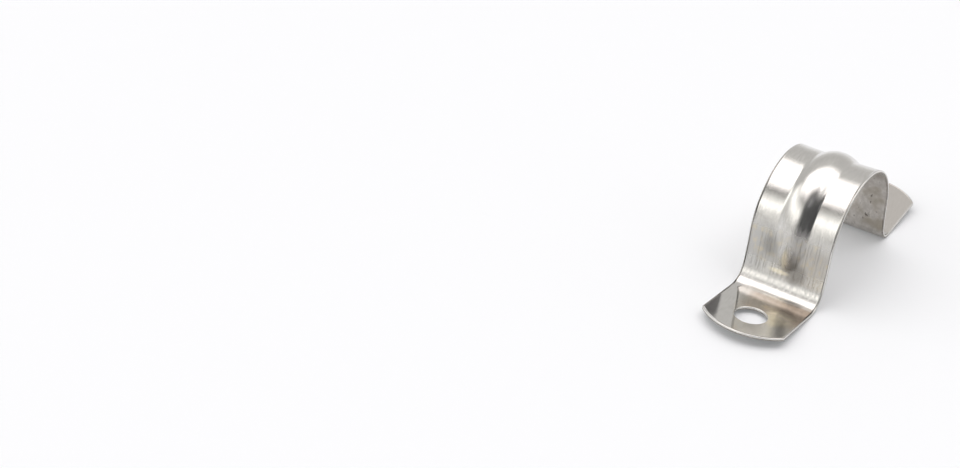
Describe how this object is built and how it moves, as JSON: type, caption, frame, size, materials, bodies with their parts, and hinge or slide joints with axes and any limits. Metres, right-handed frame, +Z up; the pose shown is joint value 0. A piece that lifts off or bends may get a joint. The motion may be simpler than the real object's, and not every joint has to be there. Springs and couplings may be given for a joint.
{
  "type": "conduit strap",
  "caption": "Stainless conduit strap folded from sheet: an arch for a round pipe with an embossed rib over its crown, and a bowed foot with a screw hole at each side.",
  "frame": {"origin": "on the seat plane, under the middle of the arch, midway between the screw holes", "axes": "+X from the foot nearest the camera in the picture to the far foot, +Y along the pipe, +Z up from the wall to the crown"},
  "size_m": [0.0804, 0.02, 0.0276],
  "materials": {
    "stainless_sheet": "bright rolled stainless sheet with fine grain along the strip, rubbed where the die bent it"
  },
  "bodies": {
    "root": {"strap": "stainless_sheet"}
  },
  "joints": []
}
